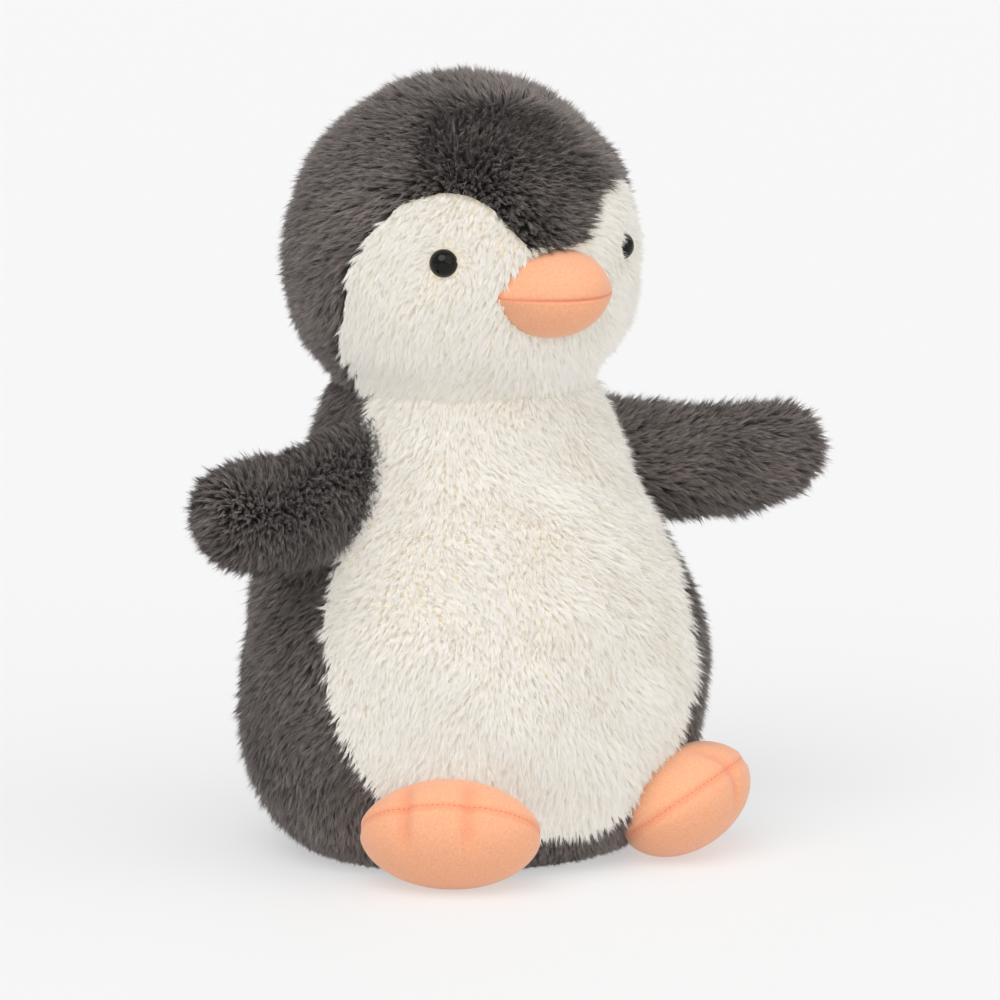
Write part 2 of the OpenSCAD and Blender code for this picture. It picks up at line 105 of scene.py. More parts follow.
def xyz(x, y, z):
    return np.stack(np.broadcast_arrays(x, y, z), -1)


def waves(seed, wavelength, count=7):
    """A smooth random field of places, from about -1 to 1."""
    rng = np.random.default_rng(seed)
    heading = unit(rng.normal(size=(count, 3)))
    k = heading * rng.uniform(0.7, 1.4, (count, 1)) * 2 * math.pi / wavelength
    phase = rng.uniform(0, 2 * math.pi, count)
    return lambda p: np.sin(p @ k.T + phase).sum(-1) / math.sqrt(count)


# ---- the stuffed shapes ------------------------------------------------------------------

TORSO_SHARES = ((0.6, 0), (0.745, 0.02), (0.865, 0.08), (0.958, 0.188), (1, 0.327), (0.995, 0.416),
                (0.942, 0.535), (0.817, 0.658), (0.681, 0.777), (0.592, 0.891))
TORSO_OUTLINE = [(r * TORSO_R, z * NECK_Z) for r, z in TORSO_SHARES] + [(NECK_R, NECK_Z)]
TORSO_LUMP, TORSO_LUMP_LOW, TORSO_LUMP_HIGH = 1.3, 40, 30
torso_table = curve(TORSO_OUTLINE, np.linspace(0, len(TORSO_OUTLINE) - 1, 101))
torso_lumps = waves(11, 62)


def torso_radius(z):
    return np.interp(z, torso_table[:, 1], torso_table[:, 0])


def torso_share(z):
    """Depth of the torso as a share of its width."""
    return mix(TORSO_FLAT, 1, ease((z - WAIST_Z) / (NECK_Z - WAIST_Z)))


def torso_mid(z):
    return np.where(z < PAUNCH_Z, -PAUNCH * ease(z / PAUNCH_Z),
                    mix(-PAUNCH, LEAN, ease((z - PAUNCH_Z) / (NECK_Z - PAUNCH_Z))))


def torso(phi, z):
    a = np.radians(phi)
    r = torso_radius(z)
    p = xyz(r * np.sin(a), torso_mid(z) - torso_share(z) * r * np.cos(a), z)
    lump = TORSO_LUMP * torso_lumps(p)
    lump = lump * ease(z / TORSO_LUMP_LOW) * ease((NECK_Z - z) / TORSO_LUMP_HIGH)
    return xyz(p[..., 0] + lump * np.sin(a), p[..., 1] - lump * np.cos(a), p[..., 2])


def torso_off(p):
    """How far a point is outside the torso, in its left-right measure."""
    x, y, z = p[..., 0], p[..., 1], p[..., 2]
    return np.hypot(x, (y - torso_mid(z)) / torso_share(z)) - torso_radius(z)


def belly_span(z):
    half = mix(BELLY_WIDE, BELLY_HALF, ease((z - WAIST_Z) / (NECK_Z - WAIST_Z)))
    return half * np.maximum(0, 1 - ((NECK_Z - z) / (NECK_Z - BASE_Z + 1)) ** 3) ** (1 / BELLY_ROUND)


def belly_mid(z):
    return -BELLY_SKEW * ease((NECK_Z - z) / WAIST_Z)


NECK_BAND = [(51.0, NECK_Z + 0.6), (53.6, NECK_Z + 5.5)]
HEAD_SHARES = ((0.915, -0.46), (0.98, -0.235), (1, 0), (0.965, 0.28), (0.865, 0.53), (0.66, 0.76),
               (0.38, 0.94))
HEAD_OUTLINE = NECK_BAND + [(NECK_R + 5.0, HEAD_LOW)]
HEAD_OUTLINE += [(r * HEAD_R, HEAD_Z + z * HEAD_R) for r, z in HEAD_SHARES]
HEAD_OUTLINE += [(0, CROWN_Z), (-0.38 * HEAD_R, HEAD_Z + 0.94 * HEAD_R)]
HEAD_LAST = len(HEAD_OUTLINE) - 2
HEAD_LUMP, HEAD_LUMP_R = 0.7, 60
head_steps = np.linspace(0, 1, 400)
head_heights = curve(HEAD_OUTLINE, head_steps * HEAD_LAST)[:, 1]
head_lumps = waves(12, 48)


def head_t(z):
    """Share of the way up the head's outline at a height."""
    return np.interp(z, head_heights, head_steps)


def head(phi, t):
    a = np.radians(phi)
    rz = curve(HEAD_OUTLINE, np.clip(t, 0, 1.02) * HEAD_LAST)
    place = xyz(HEAD_LUMP_R * np.sin(a), -HEAD_LUMP_R * np.cos(a), rz[..., 1])
    r = rz[..., 0] + HEAD_LUMP * head_lumps(place) * ease(3 - 3 * t)
    return xyz(r * np.sin(a), LEAN - r * np.cos(a), rz[..., 1])


LOBE_Z = HEAD_Z + LOBE_RISE


def lobe(share):
    """Height on the lobes round the eyes, from 0 at the middle of the head to 1 at their top."""
    return mix(HEAD_Z, LOBE_Z, share)


FACE_EDGE = [(0, HEAD_Z + PEAK_RISE), (10, HEAD_Z + PEAK_RISE), (15, lobe(0.5)), (23, lobe(0.82)),
             (31, lobe(0.96)), (LOBE_ANGLE, LOBE_Z), (0.64 * FACE_HALF, lobe(0.88)),
             (0.76 * FACE_HALF, lobe(0.53)), (0.86 * FACE_HALF, HEAD_Z),
             (0.93 * FACE_HALF, mix(HEAD_LOW, HEAD_Z, 0.45)), (FACE_HALF, HEAD_LOW + 3)]


def face_top(phi):
    angles, heights = zip(*FACE_EDGE)
    return head_t(np.interp(np.abs(phi), angles, heights))


def hood_low(phi):
    return np.where(np.abs(phi) >= FACE_HALF, 0, face_top(phi))


WING_PATH = [(0.3 * WING_REACH, 1, WING_Z + 1), (0.45 * WING_REACH, -8, WING_Z - 3),
             (0.62 * WING_REACH, -18, WING_Z - 6), (0.8 * WING_REACH, -27, WING_Z - 6),
             (WING_REACH, -34, WING_Z - 1.5)]
WING_HEIGHTS = [(0, WING_ROOT_H), (0.2, 0.88 * WING_ROOT_H), (0.4, 1.08 * WING_H), (0.6, WING_H),
                (0.8, 0.97 * WING_H), (1, 0.95 * WING_H)]


def wing_core(s):
    return curve(WING_PATH, np.clip(s, 0, 1) * (len(WING_PATH) - 1))


def wing(s, a, side):
    """Point on a wing, s along it and a round it from the top seam over the front."""
    k = np.sqrt(np.maximum(0, 1 - np.maximum(0, (s - WING_ROUND) / (1 - WING_ROUND)) ** 2))
    h = np.interp(s, *zip(*WING_HEIGHTS)) * k
    t = WING_T * k
    b = np.radians(a)
    c = wing_core(s)
    return xyz(side * c[..., 0], c[..., 1] - t * np.sin(b), c[..., 2] + h * np.cos(b))


splay, tilt = math.radians(FOOT_SPLAY), math.radians(FOOT_TILT)
FOOT_AHEAD = np.array([math.sin(splay), -math.cos(splay), 0])
FOOT_SIDE = np.array([math.cos(splay), math.sin(splay), 0])
FOOT_AXIS = math.cos(tilt) * FOOT_AHEAD + np.array([0, 0, math.sin(tilt)])
FOOT_UP = np.array([0, 0, math.cos(tilt)]) - math.sin(tilt) * FOOT_AHEAD
FOOT_MID = np.array([FOOT_X, -FOOT_Y, FOOT_Z])

# ---- meshes ---------------------------------------------------------------------------


def place_mesh(name, mesh, material, body):
    """Put a mesh in the scene on one body; given a pair of bodies, it is only left in place with its
    transform baked in.
    """
    mesh.materials.append(material)
    obj = bpy.data.objects.new(name, mesh)
    bpy.context.scene.collection.objects.link(obj)
    if isinstance(body, str):
        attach(obj, body)
    else:
        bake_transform(obj)
    return obj


def build(name, points, faces, material, body, uv=None, normals=None):
    """A mesh object from points in mm and an array of faces with the same number of corners."""
    mesh = bpy.data.meshes.new(name)
    count, corners = faces.shape
    mesh.vertices.add(len(points))
    mesh.vertices.foreach_set("co", (points * MM).astype(np.float32).ravel())
    mesh.loops.add(count * corners)
    mesh.loops.foreach_set("vertex_index", faces.astype(np.int32).ravel())
    mesh.polygons.add(count)
    mesh.polygons.foreach_set("loop_start", np.arange(count, dtype=np.int32) * corners)
    mesh.polygons.foreach_set("use_smooth", np.ones(count, bool))
    if uv is not None:
        layer = mesh.uv_layers.new(name="OFBake")
        layer.uv.foreach_set("vector", uv[faces.ravel()].astype(np.float32).ravel())
    mesh.update(calc_edges=True)
    if normals is not None:
        layer = mesh.attributes.new("custom_normal", "FLOAT_VECTOR", "POINT")
        layer.data.foreach_set("vector", normals.astype(np.float32).ravel())
    return place_mesh(name, mesh, material, body)


def loose_mesh(name, points, faces, material, body):
    """A mesh object from points in mm and faces with three or four corners."""
    bm = bmesh.new()
    verts = [bm.verts.new(Vector(p) * MM) for p in points]
    for corners in faces:
        bm.faces.new([verts[i] for i in corners])
    bmesh.ops.recalc_face_normals(bm, faces=bm.faces)
    mesh = bpy.data.meshes.new(name)
    bm.to_mesh(mesh)
    bm.free()
    mesh.polygons.foreach_set("use_smooth", [True] * len(mesh.polygons))
    return place_mesh(name, mesh, material, body)


def grid_faces(rows, cols):
    i, j = np.meshgrid(np.arange(rows), np.arange(cols), indexing="ij")
    a = (i * (cols + 1) + j).ravel()
    return np.stack([a, a + cols + 1, a + cols + 2, a + 1], 1)


def slope(surface, u, v, step=1e-3):
    """Points of a surface, and normals that may still face inwards."""
    p = surface(u, v)
    du = surface(u + step, v) - surface(u - step, v)
    dv = surface(u, v + step) - surface(u, v - step)
    return p, unit(np.cross(du, dv))


def outward(n, p, core):
    """Normals turned to face away from the middle of the shape."""
    return n * np.where(dot(n, p - core(p)) < 0, -1, 1)


def axis_core(p):
    """A place inside the torso or head, for each point on it."""
    return xyz(0, LEAN, p[..., 2] * 0.75 + 40)


def panel(name, surface, rows, cols, material, body, core, nodes):
    """A sewn panel as a closed sheet with the thickness of the backing."""
    v, u = np.meshgrid(np.linspace(0, 1, cols + 1), np.linspace(0, 1, rows + 1))
    p, n = slope(surface, u.ravel(), v.ravel())
    n = outward(n, p, core)
    inner = p - CLOTH * n
    count = len(p)
    f = grid_faces(rows, cols)
    a = np.arange(cols)
    b = np.arange(rows) * (cols + 1)
    last = rows * (cols + 1)
    rim = [np.stack([a, a + 1, a + 1 + count, a + count], 1),
           np.stack([a + last + 1, a + last, a + last + count, a + last + 1 + count], 1),
           np.stack([b + cols + 1, b, b + count, b + cols + 1 + count], 1),
           np.stack([b + cols, b + 2 * cols + 1, b + 2 * cols + 1 + count, b + cols + count], 1)]
    faces = np.concatenate([f, f[:, ::-1] + count] + rim)
    obj = build(name, np.concatenate([p, inner]), faces, material, body)
    weld(obj)
    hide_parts(*nodes)
    return obj


def weld(obj):
    """Join points that coincide, and turn all faces outwards."""
    bm = bmesh.new()
    bm.from_mesh(obj.data)
    bmesh.ops.remove_doubles(bm, verts=bm.verts, dist=0.02 * MM)
    bmesh.ops.recalc_face_normals(bm, faces=bm.faces)
    bm.to_mesh(obj.data)
    bm.free()


# ---- pile ---------------------------------------------------------------------------------

swirl_a, swirl_b, thick_noise = waves(21, 55), waves(22, 34), waves(23, 26)
UPRIGHT = (8, 30)
PIECE_FIBRES = 62000
SCATTER_CELLS = 90
SWIRL_WIDE, SWIRL_FINE, SWIRL_STRAY = 0.30, 0.22, 0.26      # turns of a clump, in radians
LENGTH_DRIFT, LENGTH_STRAY = 0.10, 0.10
ROOT_LEAN_STRAY, TIP_LEAN_STRAY = 7, 12                     # degrees
SHADE_STRAY, SHADE_DRIFT, TONE_STRAY, TONE_WIDTH = 0.19, 0.13, 0.10, 0.03
CLUMP_SPREAD, MIDDLE_SPREAD, TIP_SPREAD = 0.78, 0.68, 0.24  # a clump closes in towards its tip
ROOT_DEPTH, FLOOR_GAP = 0.4, 0.25
REACH = (0.72, 1.06)
MIDDLE_STRAY, TIP_STRAY, WISP_STRAY, WISP_SHARE = 0.22, 0.32, 1.0, 0.12
TWIST_STRAY = 0.6
MIDDLE_WIDTH, MIDDLE_V = 0.8, 0.52
STRIP_POINTS, STRIP_FACES = 5, np.array([[0, 1, 3], [0, 3, 2], [2, 3, 4]])


def scatter(surface, spacing, rng):
    """Random places on a surface, spread evenly by area."""
    steps = SCATTER_CELLS
    v, u = np.meshgrid(np.linspace(0, 1, steps + 1), np.linspace(0, 1, steps + 1))
    p = surface(u.ravel(), v.ravel()).reshape(steps + 1, steps + 1, 3)
    diagonals = np.cross(p[1:, 1:] - p[:-1, :-1], p[1:, :-1] - p[:-1, 1:])
    cell = np.linalg.norm(diagonals, axis=-1).ravel() / 2
    count = int(cell.sum() / spacing**2)
    edges = np.concatenate([[0], np.cumsum(cell)]) / cell.sum()
    place = (np.arange(count) + rng.random(count)) / count
    pick = np.clip(np.searchsorted(edges, place) - 1, 0, len(cell) - 1)
    return (pick // steps + rng.random(count)) / steps, (pick % steps + rng.random(count)) / steps


def combed(p, n, flow, rng):
    """The way each clump lies along the surface, and the way across it."""
    f = flow(p, n)
    f = unit(f - dot(f, n) * n)
    side = np.cross(n, f)
    turn = SWIRL_WIDE * swirl_a(p) + SWIRL_FINE * swirl_b(p) + rng.normal(0, SWIRL_STRAY, len(p))
    turn = turn[:, None]
    f = unit(f * np.cos(turn) + side * np.sin(turn))
    return f, np.cross(n, f)


def pile(name, surface, flow, material, body, core, seed, length=9.5, lean=(32, 62), spacing=1.5,
         per=11, keep=None, trim=None, upright=None, even=0.65, width=(0.12, 0.19)):
    """Pile of pointed clumps on a surface, in as many meshes as it needs.

    Each fibre is a narrow tapered strip: two points at its root, two at its middle and one tip.
    `even` is how far its shading follows the surface under it.
    """
    rng = np.random.default_rng(seed)
    u, v = scatter(surface, spacing, rng)
    p, n = slope(surface, u, v)
    if keep is not None:
        ok = keep(p)
        p, n = p[ok], n[ok]
    n = outward(n, p, core)
    f, side = combed(p, n, flow, rng)
    tall = length * (1 + LENGTH_DRIFT * thick_noise(p) + rng.normal(0, LENGTH_STRAY, len(p)))
    if trim is not None:
        tall = tall * trim(p)
    low, high = lean
    if upright is not None:
        k = upright(p)
        low, high = mix(low, UPRIGHT[0], k), mix(high, UPRIGHT[1], k)
    tilt_a = np.radians(low + rng.normal(0, ROOT_LEAN_STRAY, len(p)))[:, None]
    tilt_b = np.radians(high + rng.normal(0, TIP_LEAN_STRAY, len(p)))[:, None]
    root_way = n * np.cos(tilt_a) + f * np.sin(tilt_a)
    tip_way = n * np.cos(tilt_b) + f * np.sin(tilt_b)
    clump_mid = tall[:, None] * (0.375 * root_way + 0.125 * tip_way)
    clump_tip = tall[:, None] * (0.5 * root_way + 0.5 * tip_way)
    shade = 0.5 + SHADE_STRAY * rng.normal(size=len(p)) + SHADE_DRIFT * swirl_b(p)
    shade = np.clip(shade, 0.06, 0.94)

    each = np.repeat(np.arange(len(p)), per)
    count = len(each)
    out = spacing * CLUMP_SPREAD * np.sqrt(rng.random((count, 1)))
    bearing = rng.uniform(0, 2 * math.pi, (count, 1))
    n, f, side = n[each], f[each], side[each]
    off = out * (np.cos(bearing) * f + np.sin(bearing) * side)
    root = p[each] + off - ROOT_DEPTH * n
    reach = rng.uniform(*REACH, (count, 1))
    stray = np.where(rng.random((count, 1)) < WISP_SHARE, WISP_STRAY, TIP_STRAY)
    middle = p[each] + clump_mid[each] * (0.5 + 0.5 * reach) + MIDDLE_SPREAD * off \
        + rng.normal(0, MIDDLE_STRAY, (count, 3))
    tip = p[each] + clump_tip[each] * reach + TIP_SPREAD * off + rng.normal(0, 1, (count, 3)) * stray
    along = unit(tip - root)
    wide = unit(np.cross(along, n))
    twist = rng.normal(0, TWIST_STRAY, (count, 1))
    wide = wide * np.cos(twist) + np.cross(along, wide) * np.sin(twist)
    facing = np.cross(wide, along)
    flip = np.where(dot(facing, n) < 0, -1, 1)
    wide, facing = wide * flip, facing * flip
    half = rng.uniform(*width, (count, 1))
    points = np.stack([root - wide * half, root + wide * half, middle - wide * half * MIDDLE_WIDTH,
                       middle + wide * half * MIDDLE_WIDTH, tip], 1)
    points[..., 2] = np.maximum(points[..., 2], FLOOR_GAP)
    look = (1 - even) * facing + even * n + (0.6 - 0.6 * even) * rng.normal(size=(count, 3))
    look = unit(look)
    tone = np.clip(shade[each] + rng.normal(0, TONE_STRAY, count), 0.04, 0.96)
    dark, light = tone - TONE_WIDTH, tone + TONE_WIDTH
    uv = np.stack([np.stack([dark, light, dark, light, tone], 1),
                   np.tile([0.0, 0.0, MIDDLE_V, MIDDLE_V, 1.0], (count, 1))], -1)

    first = (np.arange(count) * STRIP_POINTS)[:, None]
    parts = math.ceil(count / PIECE_FIBRES)
    share = math.ceil(count / parts)
    for k in range(parts):
        lo, hi = k * share, min(count, (k + 1) * share)
        faces = (first[:hi - lo, :, None] + STRIP_FACES[None]).reshape(-1, 3)
        label = name if parts == 1 else f"{name}_{k + 1}"
        build(label, points[lo:hi].reshape(-1, 3), faces, material, body,
              uv=uv[lo:hi].reshape(-1, 2), normals=np.repeat(look[lo:hi], STRIP_POINTS, axis=0))


# ---- materials ----------------------------------------------------------------------------


def srgb(r, g, b):
    def line(c):
        c /= 255
        return c / 12.92 if c <= 0.04045 else ((c + 0.055) / 1.055) ** 2.4
    return (line(r), line(g), line(b), 1)


def material(name, **sockets):
    m = bpy.data.materials.new(name)
    m.use_nodes = True
    shader = m.node_tree.nodes["Principled BSDF"]
    for key, value in sockets.items():
        shader.inputs[key.replace("_", " ")].default_value = value
    return m, m.node_tree, shader


def node(tree, kind, **values):
    made = tree.nodes.new(kind)
    for key, value in values.items():
        if hasattr(made, key):
            setattr(made, key, value)
        else:
            made.inputs[key].default_value = value
    return made


MIX_SHARE, MIX_A, MIX_B, MIX_COLOUR = 0, 6, 7, 2     # sockets of a Mix node set to colours


def ramp(tree, source, stops):
    made = tree.nodes.new("ShaderNodeValToRGB")
    colours = made.color_ramp
    while len(colours.elements) < len(stops):
        colours.elements.new(0.5)
    for element, (at, colour) in zip(colours.elements, stops):
        element.position = at
        element.color = colour
    tree.links.new(source, made.inputs["Fac"])
    return made.outputs["Color"]


def pile_material(name, along, shades, roughness, sheen, glow):
    """Colour along a fibre, times a shade from clump to clump. The colour along a fibre is painted
    shade and light: darker towards the root, deep in the pile, and lighter at the tip.

    The glow stands for light that fibres pass on to each other.
    """
    m, tree, shader = material(name, Roughness=roughness, Sheen_Weight=sheen, Sheen_Roughness=0.45,
                               Specular_IOR_Level=0.3, Emission_Color=glow, Emission_Strength=1)
    uv = node(tree, "ShaderNodeUVMap", uv_map="OFBake")
    split = node(tree, "ShaderNodeSeparateXYZ")
    tree.links.new(uv.outputs["UV"], split.inputs[0])
    # painted shade and light: this ramp darkens each fibre towards its root, deep in the pile, and
    # lightens its tip
    painted_shade_along = ramp(tree, split.outputs["Y"], along)
    across = ramp(tree, split.outputs["X"], shades)
    both = node(tree, "ShaderNodeMix", data_type="RGBA", blend_type="MULTIPLY")
    both.inputs[MIX_SHARE].default_value = 1
    tree.links.new(painted_shade_along, both.inputs[MIX_A])
    tree.links.new(across, both.inputs[MIX_B])
    tree.links.new(both.outputs[MIX_COLOUR], shader.inputs["Base Color"])
    return m


def grained(name, low, high, scale, bump, roughness, depth=0.0004, **sockets):
    """Two tones from noise, with the same noise as a fine relief."""
    m, tree, shader = material(name, Roughness=roughness, **sockets)
    place = node(tree, "ShaderNodeTexCoord")
    noise = node(tree, "ShaderNodeTexNoise", Scale=scale, Detail=6.0, Roughness=0.65)
    tree.links.new(place.outputs["Object"], noise.inputs["Vector"])
    tones = ramp(tree, noise.outputs["Fac"], [(0.3, low), (0.7, high)])
    tree.links.new(tones, shader.inputs["Base Color"])
    relief = node(tree, "ShaderNodeBump", Strength=bump, Distance=depth)
    tree.links.new(noise.outputs["Fac"], relief.inputs["Height"])
    tree.links.new(relief.outputs["Normal"], shader.inputs["Normal"])
    return m


def shade_towards(m, colour):
    """Shift a material's colour towards a painted shade colour where the mesh's shade attribute is
    above 0.
    """
    tree = m.node_tree
    base_colour = tree.nodes["Principled BSDF"].inputs["Base Color"]
    painted_shade = node(tree, "ShaderNodeAttribute", attribute_name="painted_shade")
    shaded = node(tree, "ShaderNodeMix", data_type="RGBA")
    plain = base_colour.links[0].from_socket
    tree.links.new(painted_shade.outputs["Fac"], shaded.inputs[MIX_SHARE])
    tree.links.new(plain, shaded.inputs[MIX_A])
    shaded.inputs[MIX_B].default_value = colour
    tree.links.new(shaded.outputs[MIX_COLOUR], base_colour)


def grey(value):
    return (value, value, value, 1)


# Each pile's first ramp is painted light and shade along the fibres: dark roots deep in the pile and
# light tips. The cream roots take the warm tan of the shaded gaps.
DARK_PILE = pile_material(
    "dark_pile", [(0.0, srgb(42, 37, 36)), (0.45, srgb(86, 78, 75)), (1.0, srgb(146, 135, 129))],
    [(0.0, grey(0.42)), (0.5, grey(0.85)), (1.0, grey(1.35))],
    roughness=0.5, sheen=0.35, glow=srgb(26, 23, 22))
CREAM_PILE = pile_material(
    "cream_pile", [(0.0, srgb(214, 196, 164)), (0.3, srgb(215, 207, 192)), (1.0, srgb(217, 216, 213))],
    [(0.0, (0.92, 0.89, 0.82, 1)), (0.5, grey(0.98)), (1.0, grey(1.0))],
    roughness=0.6, sheen=0.15, glow=(0.262, 0.256, 0.244, 1))
DARK_BACKING = grained("dark_backing", srgb(34, 31, 30), srgb(52, 47, 45),
                       scale=900, bump=0.4, roughness=0.9)
# The cream backing's emission is painted light: it lifts the shade of the backing seen between the
# fibres.
CREAM_BACKING = grained("cream_backing", srgb(222, 209, 176), srgb(240, 230, 205),
                        scale=900, bump=0.4, roughness=0.9,
                        Emission_Color=(0.36, 0.33, 0.27, 1), Emission_Strength=1)
SUEDE = grained("orange_suede", srgb(231, 157, 115), srgb(241, 181, 143),
                scale=1100, bump=0.5, roughness=0.85, Sheen_Weight=0.3, Sheen_Roughness=0.4)
# painted shade: the suede darkens to this colour in the rim seam, the tucks and the mouth groove
shade_towards(SUEDE, srgb(228, 118, 82))
FIBRE = grained("fibre_fill", srgb(224, 224, 220), srgb(248, 248, 244),
                scale=420, bump=0.9, roughness=0.9, depth=0.001)
CALICO = grained("pouch_cloth", srgb(208, 196, 170), srgb(226, 216, 194),
                 scale=1600, bump=0.5, roughness=0.9)
BEANS = grained("pellets", srgb(180, 188, 194), srgb(214, 220, 224),
                scale=260, bump=1.0, roughness=0.4, depth=0.002)
WASHER = grained("washer_plastic", srgb(196, 200, 204), srgb(208, 212, 216),
                 scale=300, bump=0.1, roughness=0.35)
EYE = grained("eye_black", srgb(6, 6, 5), srgb(12, 13, 10),
              scale=240, bump=0.02, roughness=0.1, Specular_IOR_Level=0.24)
THREAD = grained("orange_thread", srgb(206, 96, 62), srgb(226, 122, 84),
                 scale=2600, bump=0.6, roughness=0.7)

# ---- torso -------------------------------------------------------------------------------

BELLY_LOW, TORSO_TOP = BASE_Z + 0.5, NECK_Z - 0.6           # edges of the panels at their seams
CREAM_WIDTH, CREAM_SPACING = (0.15, 0.22), 1.38


def torso_region(start, end):
    """Part of the torso between two edges, each given as an angle for every height."""
    def surface(u, v):
        z = mix(BELLY_LOW, TORSO_TOP, u)
        return torso(mix(start(z), end(z), v), z)
    return surface


def belly_right(z):
    return belly_mid(z) - belly_span(z)


def belly_left(z):
    return belly_mid(z) + belly_span(z)


belly = torso_region(belly_right, belly_left)
back_left = torso_region(belly_left, lambda z: 180 + 0 * z)
back_right = torso_region(lambda z: -180 + 0 * z, belly_right)

SEAT_SHARE, SEAT_CURVE, SEAT_GAP = 0.35, 1.6, 0.05


def base(u, v):
    """Underside from its flat middle out to the base seam."""
    wall = np.maximum(0, u - SEAT_SHARE) / (1 - SEAT_SHARE)
    z = BELLY_LOW * wall**SEAT_CURVE
    p = torso(mix(-180, 180, v), z)
    shrink = np.minimum(1, u / SEAT_SHARE)
    return xyz(p[..., 0] * shrink, p[..., 1] * shrink, np.maximum(z, SEAT_GAP))


def base_core(p):
    return xyz(p[..., 0] * 0.6, p[..., 1] * 0.6, 30 + 0 * p[..., 2])


def down(p, n):
    """Pile on the torso lies downwards and a little outwards."""
    return xyz(0.16 * p[..., 0] / TORSO_R, 0.05 + 0 * p[..., 1], -1 + 0 * p[..., 2])


FLEX_LIFT, FOOT_INSET = 4, 2


def foot_free(p):
    """False where a foot is sewn against the torso, or comes to when it flexes."""
    free = np.ones(p.shape[:-1], bool)
    for lift in (0, FLEX_LIFT):
        q = np.abs(p[..., :1]) * [1, 0, 0] + p * [0, 1, 1] - FOOT_MID - [0, 0, lift]
        a, b, c = q @ FOOT_AXIS, q @ FOOT_SIDE, q @ FOOT_UP
        wide, thick = FOOT_W - FOOT_INSET, FOOT_T - FOOT_INSET
        free &= (a / FOOT_L) ** 2 + (b / wide) ** 2 + (c / thick) ** 2 > 1
    return free


def near_floor(p):
    """The pile gets shorter towards the flat seat."""
    return mix(0.55, 1, ease(p[..., 2] / 26))


for label, surface, rows, cols, skin, slot, core in (
        ("belly", belly, 48, 60, CREAM_BACKING, "cream_pile", axis_core),
        ("back_left", back_left, 48, 44, DARK_BACKING, "dark_pile", axis_core),
        ("back_right", back_right, 48, 44, DARK_BACKING, "dark_pile", axis_core),
        ("base", base, 18, 90, DARK_BACKING, "dark_pile", base_core)):
    panel(f"{label}_skin", surface, rows, cols, skin, "torso", core, [f"{label}_panel"])

pile("belly_pile", belly, down, CREAM_PILE, "torso", axis_core, seed=101, keep=foot_free,
     spacing=CREAM_SPACING, trim=near_floor, even=0.85, width=CREAM_WIDTH)
pile("back_left_pile", back_left, down, DARK_PILE, "torso", axis_core, seed=102,
     keep=foot_free, trim=near_floor)
pile("back_right_pile", back_right, down, DARK_PILE, "torso", axis_core, seed=103,
     keep=foot_free, trim=near_floor)
pile("base_pile", lambda u, v: base(0.40 + 0.60 * u, v), down, DARK_PILE, "torso",
     base_core, seed=104, length=8, keep=foot_free, trim=near_floor)

# ---- head --------------------------------------------------------------------------------

NECK_BLEND = ("neck", "head", (0, LEAN * MM, 203 * MM), (0, LEAN * MM, 228 * MM))
EYES = [head(side * EYE_ANGLE, head_t(HEAD_Z + EYE_RISE)) for side in (-1, 1)]


def head_region(start, end, low, high):
    """Part of the head between two angles and two edges, given as a share of the outline."""
    def surface(u, v):
        phi = mix(start, end, v)
        return head(phi, mix(low(phi), high(phi), u))
    return surface


def to_crown(phi):
    return 0.998 + 0 * phi


face = head_region(-FACE_HALF, FACE_HALF, lambda phi: 0 * phi, face_top)
forehead = head_region(-LOBE_ANGLE, LOBE_ANGLE, face_top, to_crown)
hood_left = head_region(LOBE_ANGLE, 180, hood_low, to_crown)
hood_right = head_region(-180, -LOBE_ANGLE, hood_low, to_crown)


def eye_distance(p):
    return np.minimum(*[np.linalg.norm(p - e, axis=-1) for e in EYES])


def under_beak(p, spare=0.0):
    """True within the beak's outline, seen from the front."""
    return (p[..., 0] / (BEAK_W - spare)) ** 2 + ((p[..., 2] - BEAK_Z) / (BEAK_H - spare)) ** 2 < 1


def face_keep(p):
    """False under the eyes and the beak."""
    front = p[..., 1] < LEAN
    return (eye_distance(p) > 0.5 * EYE_D - 0.7) & ~(under_beak(p, 2.0) & front)


def face_trim(p):
    """The pile is shorter round the eyes, and a little longer under the chin."""
    eyes = mix(0.62, 1, ease((eye_distance(p) - 6.5) / 6))
    return eyes * mix(1.15, 1, ease((p[..., 2] - 206) / 9))


def face_flow(p, n):
    """Down and outwards, and away from each eye."""
    v = xyz(0.5 * np.sign(p[..., 0]) * ease(np.abs(p[..., 0]) / 30), 0 * p[..., 1], -1 + 0 * p[..., 2])
    for e in EYES:
        away = p - e
        near = np.exp(-(np.linalg.norm(away, axis=-1, keepdims=True) / 13) ** 2)
        v = v + 2.2 * near * unit(away)
    return v


def hood_flow(p, n):
    """Back over the crown, then down."""
    return xyz(0.006 * p[..., 0], 1 + 0 * p[..., 1], -1 + 0 * p[..., 2])


PARTING = HEAD_Z + 0.88 * HEAD_R
BROW_TURN = 12


def brow(p):
    """1 on the forehead, where the pile stands up and lies forwards, and 0 behind it."""
    phi = np.abs(np.degrees(np.arctan2(p[..., 0], LEAN - p[..., 1])) + BROW_TURN)
    sides = ease((LOBE_ANGLE + 12 - phi) / 22)
    return sides * ease((PARTING + 8 - p[..., 2]) / 16) * ease((p[..., 2] - HEAD_Z) / 6)


def dark_flow(p, n):
    """Forwards and outwards on the forehead, back over the crown and down elsewhere."""
    ahead = xyz(0.016 * p[..., 0], -0.7 + 0 * p[..., 1], -0.75 + 0 * p[..., 2])
    return mix(unit(hood_flow(p, n)), unit(ahead), brow(p)[..., None])


def chin_trim(p):
    """The pile of the hood is shorter where it meets the shoulders."""
    return mix(0.75, 1, ease((p[..., 2] - 203) / 9))


